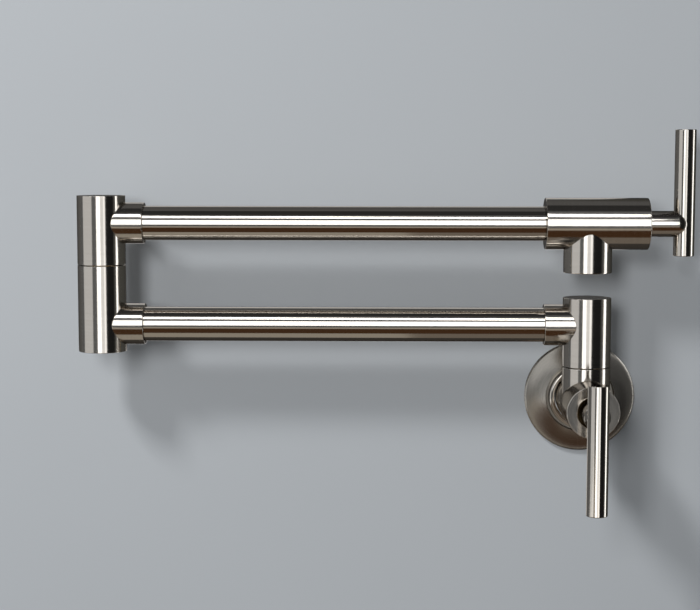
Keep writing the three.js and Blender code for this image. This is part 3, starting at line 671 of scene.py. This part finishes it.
# Handles: a stem with a domed nose, a bar through it and a set screw on the side that faces down.
handleSize = {
    "stemRadius": 7.5,
    "stemLow": 30.3,
    "socket": 4.3,
    "socketTop": 42.6,
    "stemEases": (0, 0.1, 0.2, 0.3),
    "noseSetback": 4.1,
    "noseSteps": 24,
    "barRadius": 6.0,
    "barLow": -54.3,
    "barHigh": 18.6,
    "barEdge": 0.45,
}
handleSpots = {
    "wall": {"valve": "wallValve", "reach": 19.6, "screwWay": math.pi},
    "outlet": {"valve": "outletValve", "reach": 21.0, "screwWay": 0.0},
}
barPolish = {"roughness": 0.1, "lineDepth": 0.0006, "smudge": 0.03}
screwSize = {
    "radius": 2.0,
    "low": 4.6,
    "top": 7.35,
    "height": 38.3,  # along the stem
    "keyHalf": 1.0,
    "keyLow": 5.95,
    "eases": (0.15, 0.2, 0.1, 0.05),
    "sides": 96,
}
screwHole = {
    "radius": 2.3,
    "floor": 4.45,
    "wall": 0.03,  # between the rim's two lines
    "blend": 1.1,
    "linesInside": 6,
    "linesOutside": (0.1, 0.25, 0.55),
}


def addScrew(prefix, place, way, body):
    s, eases = screwSize, screwSize["eases"]
    valve = places[place]
    ways = valve["ways"]
    outwards = math.cos(way) * ways[0] + math.sin(way) * ways[1]
    places[place + "Screw"] = {
        "origin": valve["origin"] + ways[2] * s["height"],
        "ways": np.stack([ways[2], np.cross(outwards, ways[2]), outwards]),
    }
    corners = [
        (0, s["low"], 0, 0), (s["radius"], s["low"], eases[0], 0), (s["radius"], s["top"], eases[1], 0),
        (s["keyHalf"], s["top"], eases[2], 1), (s["keyHalf"], s["keyLow"], eases[3], 1),
        (0, s["keyLow"], 0, 0),
    ]
    turnedPiece(
        prefix + "_set_screw", place + "Screw", corners, body, "spring_steel", plainFinish["spring_steel"],
        prefix + "_handle_screw", closed=False, sides=s["sides"], keyed=True,
    )


# The stem's nose is half a ball: its outline is (radius * cos(angle), nose + radius * sin(angle)).
def addHandle(prefix, body):
    h, spots = handleSize, handleSpots[prefix]
    place = spots["valve"]
    radius = h["stemRadius"]
    barAxis = bodySize["face"] + spots["reach"]
    nose = barAxis - h["noseSetback"]
    angle = np.linspace(0, np.pi / 2, h["noseSteps"])
    ball = np.stack([radius * np.cos(angle), nose + radius * np.sin(angle), 0 * angle], 1)
    ball[-1, 0] = 0
    socket, top, low = h["socket"], h["socketTop"], h["stemLow"]
    foot = np.column_stack([[(0, top), (socket, top), (socket, low), (radius, low)], h["stemEases"]])
    hole = {**screwHole, "height": screwSize["height"], "side": radius, "way": spots["screwWay"]}
    heights = hole["height"] + holeLines(hole)
    shank = np.stack([radius + 0 * heights, heights, 0 * heights], 1)
    corners = np.concatenate([foot, shank, ball])
    nickelPiece(prefix + "_stem", place, corners, body, prefix + "_handle_stem", closed=False, hole=hole)
    addScrew(prefix, place, spots["screwWay"], body)
    ways = places[place]["ways"]
    places[place + "Bar"] = {
        "origin": places[place]["origin"] + ways[2] * barAxis,
        "ways": np.stack([ways[1], ways[2], ways[0]]),
    }
    bar = ringCorners(0, h["barRadius"], h["barLow"], h["barHigh"], [0, h["barEdge"], h["barEdge"], 0])
    finish = nickel(prefix + "_bar_finish", place + "Bar", lengthwise=True, **barPolish)
    nickelPiece(prefix + "_bar", place + "Bar", bar, body, prefix + "_handle_bar", finish, closed=False)


addHandle("wall", "wall_handle")
addHandle("outlet", "outlet_handle")
print("handles made")

# Flange, collar ring, gasket and inlet nipple. Heights count from the wall.
flangeSize = {
    "radius": 33.0,
    "foot": 30.6,
    "footEase": 0.15,
    "rimHeight": 2.4,
    "rimBevel": 0.9,
    "rimEases": (0.12, 0.15),
    "height": 6.0,
    "curve": 1.4,
    "dishSteps": 33,
    "dishEase": 0.3,
    "seat": 20.2,
    "seatStep": 0.35,
    "seatHeight": 3.2,
    "seatEase": 0.2,
    "collar": 15.3,
    "under": 1.5,
    "ribInner": 21.9,
    "ribOuter": 24.6,
    "ribTop": 2.6,
    "sides": 192,
}
# painted shade: the flange is the same nickel as the rest, given a darker colour for the dark surroundings it
# mirrors
flangeShadedLook = {
    **nickelLook,
    "colour": (0.5, 0.475, 0.43, 1),
    "paleColour": (0.6, 0.575, 0.53, 1),
    "roughness": 0.25,
    "lineSpacing": 0.16,
    "lineDepth": 0.006,
}


# The dish rises from its rim to its inner edge: rimHeight + (height - rimHeight) * way^curve, where way is 0
# at the rim and 1 at the inner edge.
def addFlange():
    f, inside = flangeSize, insideEase
    way = np.linspace(0, 1, f["dishSteps"])
    rim, edge = f["radius"] - f["rimBevel"], f["seat"] + f["seatStep"]
    rise = f["rimHeight"] + (f["height"] - f["rimHeight"]) * way ** f["curve"]
    dish = np.stack([rim + (edge - rim) * way, rise, 0 * way], 1)
    dish[[0, -1], 2] = f["rimEases"][1], f["dishEase"]
    under = [
        (f["collar"], f["under"], inside), (f["ribInner"], f["under"], inside),
        (f["ribInner"], f["ribTop"], inside), (f["ribOuter"], f["under"], inside),
        (f["foot"], f["under"], inside), (f["foot"], 0, inside), (f["radius"], 0, f["footEase"]),
        (f["radius"], f["rimHeight"] - f["rimBevel"], f["rimEases"][0]),
    ]
    well = [(f["seat"], f["seatHeight"], f["seatEase"]), (f["collar"], f["seatHeight"], inside)]
    corners = np.concatenate([under, dish, well])
    finish = brushedMetal("flange_shaded_finish", "fixing", flangeShadedLook)
    nickelPiece("wall_flange_dish", "fixing", corners, "wall_mount", "wall_flange", finish, sides=f["sides"])


collarSize = {
    "inner": 15.3,
    "width": 3.4,
    "low": 3.5,
    "height": 4.5,
    "footEase": 0.15,
    "crownSteps": 25,
    "roughness": 0.11,
    "sides": 160,
}
gasketSize = {"inner": 26.3, "outer": 30.3, "low": 0.02, "top": 1.2, "eases": (0.2,) * 4}


# The collar ring's top is half a circle, as wide as the ring: its radius is middle + half * cos(angle), and
# its height top - half + half * sin(angle).
def addCollarRing():
    c = collarSize
    half = c["width"] / 2
    angle = np.linspace(0, np.pi, c["crownSteps"])
    across = c["inner"] + half + half * np.cos(angle)
    crown = np.stack([across, c["low"] + c["height"] - half + half * np.sin(angle), 0 * angle], 1)
    foot = [(c["inner"], c["low"], c["footEase"]), (c["inner"] + c["width"], c["low"], c["footEase"])]
    corners = np.concatenate([foot, crown])
    finish = nickel("collar_finish", "fixing", roughness=c["roughness"])
    nickelPiece(
        "flange_collar_crown", "fixing", corners, "wall_mount", "flange_collar_ring", finish,
        sides=c["sides"],
    )


def addGasket():
    g = gasketSize
    corners = ringCorners(g["inner"], g["outer"], g["low"], g["top"], g["eases"])
    turnedPiece(
        "flange_gasket_ring", "fixing", corners, "wall_mount", "black_rubber", plainFinish["black_rubber"],
        "flange_gasket",
    )


nippleSize = {
    "radius": 10.45,
    "bore": 6.0,
    "front": 11.4,
    "rear": -18.0,
    "bevelLong": 0.9,
    "bevelDeep": 1.3,
    "eases": (0.2, 0.4, 0.4, 0.2),
    "sides": 96,
}
threadSize = {
    "pitch": 1.81,
    "depth": 1.0,
    "gap": 0.05,
    "root": 0.35,  # the part of the depth that is cut away all over
    "fade": 1.2,
    "rows": 200,
    "crestBelow": 0.25,  # the crests are painted paler, a painted highlight
    "crestHighlight": 0.6,
}


# The nipple's outside is a thread: radius - gap - depth * (root + (1 - root) * groove). The groove is 1 less
# twice the distance of (height / pitch - angle / turn) from its nearest whole number, and it fades out at
# both ends.
def addNipple():
    n, thread = nippleSize, threadSize
    height = np.linspace(n["rear"] + n["bevelLong"], n["front"] - n["bevelLong"], thread["rows"])
    angle = np.linspace(0, 2 * np.pi, n["sides"], endpoint=False)[None, :]
    phase = height[:, None] / thread["pitch"] - angle / (2 * np.pi)
    groove = 1 - 2 * np.abs(phase - np.round(phase))
    fade = np.clip(np.minimum(height - height[0], height[-1] - height) / thread["fade"], 0, 1)[:, None]
    cut = thread["root"] + (1 - thread["root"]) * groove * fade
    outer = n["radius"] - thread["gap"] - thread["depth"] * cut
    threaded = np.stack([outer * np.cos(angle), outer * np.sin(angle), height[:, None] + 0 * angle], -1)
    end = n["radius"] - n["bevelDeep"]
    inner = [(end, n["front"]), (n["bore"], n["front"]), (n["bore"], n["rear"]), (end, n["rear"])]
    outline, edge = easedOutline(inner, n["eases"], closed=False)
    points = np.concatenate([threaded, turnedPoints(outline, angle[0])])
    # painted highlight: the thread's crests are painted paler
    crests = thread["crestHighlight"] * (groove < thread["crestBelow"])
    putPiece(
        "inlet_nipple_thread", placed(points.reshape(-1, 3), places["fixing"]),
        gridFaces(len(points), n["sides"], True), "wall_mount",
        brushedMetal("nipple_finish", "fixing", brassLook), "inlet_nipple",
        np.concatenate([crests.ravel(), np.repeat(edge, n["sides"])]),
    )


addFlange()
addCollarRing()
addGasket()
addNipple()
print("wall fixing made")

# The aerator in the spout. Heights count from the valve's axis down to the mouth.
aeratorSize = {
    "outer": 11.7,
    "bore": 9.7,
    "lip": 8.7,
    "mouth": 27.4,
    "step": 22.8,
    "deep": 16.4,
    "edge": 0.35,
    "roughness": 0.22,
}
screenSize = {
    "radius": 9.4,
    "ring": 8.75,
    "middle": 21.9,
    "thick": 1.15,
    "ringEases": (0.15,) * 4,
    "pitch": 0.92,
    "wire": 0.17,
    "weave": 0.19,
    "intoRing": 0.1,
    "rings": 97,  # of points along each wire
}


def addAerator():
    a, inside = aeratorSize, insideEase
    corners = [
        (a["bore"], a["deep"], inside), (a["outer"], a["deep"], inside), (a["outer"], a["mouth"], a["edge"]),
        (a["lip"], a["mouth"], a["edge"]), (a["lip"], a["step"], inside), (a["bore"], a["step"], inside),
    ]
    finish = nickel("aerator_finish", "spout", roughness=a["roughness"])
    turnedPiece("aerator_cage", "spout", corners, "upper_arm", "brass", finish, "aerator_housing")


# The screen's wires run straight across its ring, each at its distance off the middle, and go over and under
# those that cross them: height = weave * cos(pi * along / pitch), with its sign changed from each wire to the
# next. The crossing set is the same one turned over, with x and y exchanged.
def addScreen():
    s = screenSize
    low = s["middle"] - s["thick"] / 2
    corners = ringCorners(s["ring"], s["radius"], low, low + s["thick"], s["ringEases"])
    finish = plainFinish["white_plastic"]
    turnedPiece(
        "aerator_screen_ring", "spout", corners, "upper_arm", "white_plastic", finish, "aerator_screen"
    )
    rings, sides = s["rings"], 6  # each end is two faces, which close six points
    count = int(s["ring"] / s["pitch"])
    order = np.arange(-count, count + 1)[:, None, None]
    offset = order * s["pitch"]
    half = np.sqrt((s["ring"] + s["intoRing"]) ** 2 - offset**2)
    along = half * np.linspace(-1, 1, rings)[None, :, None]
    angle = np.linspace(0, 2 * np.pi, sides, endpoint=False)[None, None, :]
    height = s["weave"] * (1 - 2 * (order % 2)) * np.cos(np.pi * along / s["pitch"])
    aside = offset + 0 * along + s["wire"] * np.cos(angle)
    wires = np.stack([along + 0 * angle, aside, height + s["wire"] * np.sin(angle)], -1)
    crossing = wires[..., [1, 0, 2]] * [1, 1, -1]
    points = np.concatenate([wires, crossing]).reshape(-1, 3) + [0, 0, s["middle"]]
    end = np.array([[0, 1, 2, 3], [0, 3, 4, 5]])
    oneWire = np.concatenate([gridFaces(rings, sides, False), end[:, ::-1], end + (rings - 1) * sides])
    start = np.arange(2 * len(order))[:, None, None] * rings * sides
    putPiece(
        "aerator_screen_mesh", placed(points, places["spout"]), (oneWire[None] + start).reshape(-1, 4),
        "upper_arm", finish, "aerator_screen",
    )


addAerator()
addScreen()
print("aerator made")

# The CAD solids that stay in sight or inside keep their shape and get a finish.
slotOf = {part["node"]: part["material_slot"] for part in frame["record"]["subparts"]}
insideBrushed = nickel("inside_nickel", "fixing")
for nodeName, node in nodes.items():
    if node.hide_render:
        continue
    finish = plainFinish.get(slotOf.get(nodeName), insideBrushed)
    if nodeName.endswith("cartridge_body"):
        finish = plainFinish["painted_shade_brass"]  # painted shade: darkened to stand for the shade in the gap round the stem
    node.data.materials.clear()
    node.data.materials.append(finish)
print("inside solids finished")

# The stage: a wall panel seen from its front only, and a pale floor.
stageLook = {
    "wallColour": (0.51, 0.538, 0.565, 1),
    "wallRoughness": 0.75,
    "wallBox": (-0.8, 0.5, -0.62, 0.66),  # left, right, bottom and top, in metres
    "wallSetback": 0.0004,
    "wallHole": 0.031,  # behind the flange
    "holeSides": 96,
    "floorColour": (0.62, 0.605, 0.575, 1),
    "floorRoughness": 0.7,
    "floorDrop": -0.62,
    "floorReach": 6.0,
    "cloudScale": 5.0,
    "cloudShares": (0.97, 1.02),
}


# A painted surface. Rays that come from behind pass through it, and so do the metal's reflections if it is
# clear there.
def stagePaint(name, colour, roughness, clearInMetal):
    material, start = newMaterial(name)
    position = start.node("ShaderNodeTexCoord", {}, {}, "Object")
    cloud = start.noise(position, stageLook["cloudScale"], detail=3.0)
    dark, pale = [tinted(colour, share) for share in stageLook["cloudShares"]]
    sockets = {"Base Color": start.mixColour(cloud, dark, pale), "Roughness": roughness}
    paint = start.node("ShaderNodeBsdfPrincipled", {}, sockets)
    clear = start.node("ShaderNodeBsdfTransparent", {}, {})
    through = start.node("ShaderNodeNewGeometry", {}, {}, "Backfacing")
    if clearInMetal:
        through = start.maths("MAXIMUM", through, start.node("ShaderNodeLightPath", {}, {}, "Is Glossy Ray"))
    finishMaterial(start, start.node("ShaderNodeMixShader", {}, {0: through, 1: paint, 2: clear}))
    return material


def addStage(name, corners, faces, material):
    mesh = bpy.data.meshes.new(name)
    mesh.from_pydata(corners, [], faces)
    mesh.materials.append(material)
    panel = bpy.data.objects.new(name, mesh)
    collection.objects.link(panel)
    return panel


# The wall panel is a ring of four-sided faces between the round hole and the rectangle, with a triangle in
# each corner. The rectangle lies min(width / cos(angle), height / sin(angle)) from the middle.
def addWall(look):
    left, right, low, high = look["wallBox"]
    count, setback = look["holeSides"], look["wallSetback"]
    angle = np.linspace(0, 2 * np.pi, count, endpoint=False) + np.pi / count
    wayX, wayZ = np.cos(angle), np.sin(angle)
    reach = np.minimum(np.where(wayX > 0, right, left) / wayX, np.where(wayZ > 0, high, low) / wayZ)
    inner = np.stack([look["wallHole"] * wayX, 0 * angle + setback, look["wallHole"] * wayZ], 1)
    outer = np.stack([reach * wayX, 0 * angle + setback, reach * wayZ], 1)
    corners = np.array([(x, setback, z) for x, z in [(right, high), (left, high), (left, low), (right, low)]])
    step = np.arange(count)
    beside = (step + 1) % count
    ring = np.stack([step + count, beside + count, beside, step], 1)
    before = np.searchsorted(angle, np.arctan2(corners[:, 2], corners[:, 0]) % (2 * np.pi)) - 1
    wedges = np.stack([np.arange(4) + 2 * count, (before + 1) % count + count, before % count + count], 1)
    paint = stagePaint("wall_paint", look["wallColour"], look["wallRoughness"], True)
    points = np.concatenate([inner, outer, corners]).tolist()
    addStage("wall_panel", points, ring.tolist() + wedges.tolist(), paint)


def addFloor(look):
    drop, far = look["floorDrop"], look["floorReach"]
    corners = [(-far, -far, drop), (far, -far, drop), (far, far, drop), (-far, far, drop)]
    paint = stagePaint("floor_paint", look["floorColour"], look["floorRoughness"], False)
    floor = addStage("floor", corners, [(0, 1, 2, 3)], paint)
    floor.visible_diffuse = False  # so that it doesn't brighten the foot of the wall


addWall(stageLook)
addFloor(stageLook)
print("stage set")

# Softboxes, each by its middle, its width and height in metres, and its brightness. One faces straight back
# unless it says what it faces. Where it says so, it lights only some groups of pieces, or skips some.
softboxes = {
    "frontBox": {
        "middle": (-0.1, -1.18, 0.268), "size": (0.88, 0.6), "level": 2.0,
        "skips": ["upright", "round", "room"],
    },
    "uprightLeft": {"middle": (-0.38, -1.18, 0.07), "size": (0.36, 1.15), "level": 2.0, "only": ["upright"]},
    "uprightMiddle": {
        "middle": (-0.04, -1.18, 0.07), "size": (0.32, 1.15), "level": 0.8, "only": ["upright"],
    },
    "uprightRight": {"middle": (0.225, -1.18, 0.07), "size": (0.21, 1.15), "level": 1.3, "only": ["upright"]},
    "roundBox": {"middle": (-0.1, -1.18, 0.3), "size": (1.05, 0.7), "level": 0.52, "only": ["round"]},
    "roundRight": {
        "middle": (0.55, -0.75, 0.1), "faces": (0.0, -0.03, 0.0), "size": (0.6, 0.9), "level": 0.06,
        "only": ["round"],
    },
    "roundLeft": {
        "middle": (-1.0, -0.8, 0.05), "faces": (0.0, -0.03, 0.0), "size": (0.8, 0.9), "level": 0.2,
        "only": ["round"],
    },
    "roundLow": {
        "middle": (-0.1, -1.0, -0.52), "faces": (0.0, -0.03, 0.0), "size": (1.6, 0.7), "level": 0.075,
        "only": ["round"],
    },
    "upperBox": {
        "middle": (-0.5, -1.04, 1.075), "faces": (-0.2, -0.03, 0.1), "size": (1.7, 0.29), "level": 4.4,
        "skips": ["round", "room"],
    },
    "leftBox": {"middle": (-1.3, -0.62, 0.2), "faces": (-0.14, -0.03, 0.1), "size": (1.1, 1.3), "level": 0.5},
    "rightStrip": {
        "middle": (1.05, -0.09, 0.1), "faces": (-0.14, -0.03, 0.1), "size": (0.26, 1.3), "level": 2.2,
        "skips": ["room"],
    },
    "roomKey": {
        "middle": (-0.64, -1.8, 0.5), "faces": (-0.14, 0.0, 0.07), "size": (0.48, 0.75), "level": 12.2,
        "only": ["room"],
    },
    "roomUpper": {
        "middle": (-1.3, -1.3, 1.9), "faces": (-0.14, 0.0, 0.07), "size": (0.4, 0.4), "level": 66.0,
        "only": ["room"],
    },
    "roomRear": {
        "middle": (-0.1, 1.6, 2.4), "faces": (-0.1, 1.7, -0.7), "size": (3.0, 3.0), "level": 1.1,
        "only": ["room"],
    },
    "roomFloor": {
        "middle": (-0.1, -4.2, 2.2), "faces": (-0.1, -4.1, -0.7), "size": (7.0, 4.4), "level": 1.7,
        "only": ["floor"],
    },
}
lightGroups = {
    "upright": [
        "lower_pivot_post", "lower_pivot_lid", "elbow_lower_post", "elbow_plug_face", "elbow_upper_post",
        "elbow_upper_lid", "wall_valve_stub", "outlet_spout", "wall_bar", "outlet_bar",
    ],
    "round": ["wall_flange_dish", "wall_bonnet_ring", "wall_valve_barrel"],
    "room": ["wall_panel", "floor"],
    "floor": ["floor"],
}
worldColour = (0.12, 0.124, 0.128, 1)
backdropColour = (0.5, 0.53, 0.555, 1)
cardLow, cardTop = -0.6, 1.3


def uprightCard(start, end, low=cardLow, top=cardTop):
    return [(*start, low), (*end, low), (*end, top), (*start, top)]


def levelCard(near, far, height=cardLow):
    return [(*near, height), (far[0], near[1], height), (*far, height), (near[0], far[1], height)]


def grey(level):
    return (level, level, level, 1)


# Cards that show only in the metal, each by its colour and corners.
cards = {
    "rightFlag": (grey(0.012), uprightCard((0.37, -1.1), (0.82, -0.46))),
    "rightFade": ((0.07, 0.07, 0.066, 1), uprightCard((0.82, -0.46), (0.94, -0.3))),
    "rightGlow": ((0.3, 0.3, 0.29, 1), uprightCard((0.94, -0.3), (1.0, -0.22))),
    "rearFlag": ((0.07, 0.07, 0.065, 1), uprightCard((0.15, 0.75), (1.1, 0.12))),
    "topFlag": (grey(0.03), levelCard((-1.6, -0.78), (1.3, 0.0), cardTop)),
    "skirt": ((0.36, 0.32, 0.27, 1), uprightCard((-0.9, -1.2), (0.6, -1.2), -0.5, -0.28)),
    "lowCard": (
        (0.06, 0.03, 0.015, 1),
        [(*place, cardLow) for place in [(-1.5, -1.8), (1.2, -1.8), (1.0, -0.43), (-1.3, -0.43)]],
    ),
    "lowLeft": ((0.32, 0.29, 0.247, 1), levelCard((-1.3, -0.43), (-0.09, 0.04))),
    "lowRight": ((0.17, 0.145, 0.12, 1), levelCard((-0.09, -0.43), (1.0, 0.04))),
    "lowRear": ((0.05, 0.045, 0.04, 1), levelCard((-1.6, 0.04), (1.2, 1.6))),
    "rearBox": (grey(1.1), uprightCard((-0.9, 1.3), (0.6, 1.3), 0.38, 0.95)),
    "rearBand": (grey(0.11), uprightCard((-0.9, 1.3), (0.6, 1.3), -0.14, 0.38)),
    "rearFoot": (grey(1.0), uprightCard((-0.9, 1.3), (0.6, 1.3), -0.5, -0.14)),
    "rearLeft": (grey(0.13), uprightCard((-1.9, 0.3), (-0.9, 1.25))),
    "rearTop": (grey(0.1), levelCard((-1.6, 0.0), (1.3, 1.4), cardTop)),
    "roomFront": (worldColour, uprightCard((-2.4, -2.2), (2.2, -2.2), -0.7, 2.4)),
    "roomLeft": (worldColour, uprightCard((-2.4, -2.2), (-2.4, 0.4), -0.7, 2.4)),
    "roomRight": (worldColour, uprightCard((2.2, -2.2), (2.2, 0.4), -0.7, 2.4)),
    "roomTop": (worldColour, levelCard((-2.4, -2.2), (2.2, 0.4), 2.4)),
}


# The pieces that a lamp lights or skips, as a collection for its light linking.
def lightLink(name, groupNames, state):
    group = bpy.data.collections.new(name + "_link")
    for groupName in groupNames:
        for pieceName in lightGroups[groupName]:
            group.objects.link(bpy.data.objects[pieceName])
    for member in group.collection_objects:
        member.light_linking.link_state = state
    return group


def addSoftbox(name, box):
    data = bpy.data.lights.new(name, "AREA")
    data.shape = "RECTANGLE"
    data.size, data.size_y = box["size"]
    data.energy = box["level"] * math.pi * data.size * data.size_y
    lamp = bpy.data.objects.new(name, data)
    place = Vector(box["middle"])
    target = Vector(box.get("faces", (place.x, 0.0, place.z)))
    turn = (target - place).to_track_quat("-Z", "Y").to_matrix().to_4x4()
    lamp.matrix_world = Matrix.Translation(place) @ turn
    lamp.visible_camera = False
    for key, state in {"only": "INCLUDE", "skips": "EXCLUDE"}.items():
        if key in box:
            lamp.light_linking.receiver_collection = lightLink(name, box[key], state)
    collection.objects.link(lamp)


def addCard(name, colour, corners):
    material, start = newMaterial(name + "_cloth")
    material.cycles.emission_sampling = "NONE"
    finishMaterial(start, start.node("ShaderNodeEmission", {}, {"Color": colour, "Strength": 1.0}))
    panel = addStage(name, corners, [(0, 1, 2, 3)], material)
    panel.visible_camera = panel.visible_diffuse = panel.visible_shadow = panel.visible_transmission = False


for boxName, box in softboxes.items():
    addSoftbox(boxName, box)
for cardName, card in cards.items():
    addCard(cardName, *card)

# The world is dim for its light, and pale where it is seen: straight on, in metal or through glass.
world = bpy.data.worlds.new("studio")
world.use_nodes = True
start = Shade(world.node_tree)
rays = ["Is Camera Ray", "Is Glossy Ray", "Is Transmission Ray"]
straight, mirrored, bent = [start.node("ShaderNodeLightPath", {}, {}, ray) for ray in rays]
seen = start.maths("MAXIMUM", start.maths("MAXIMUM", straight, mirrored), bent)
shown = start.mixColour(seen, worldColour, backdropColour)
world.node_tree.links.new(shown.socket, world.node_tree.nodes["Background"].inputs["Color"])
bpy.context.scene.world = world
bpy.context.scene.view_settings.view_transform = "Standard"
print("light set")
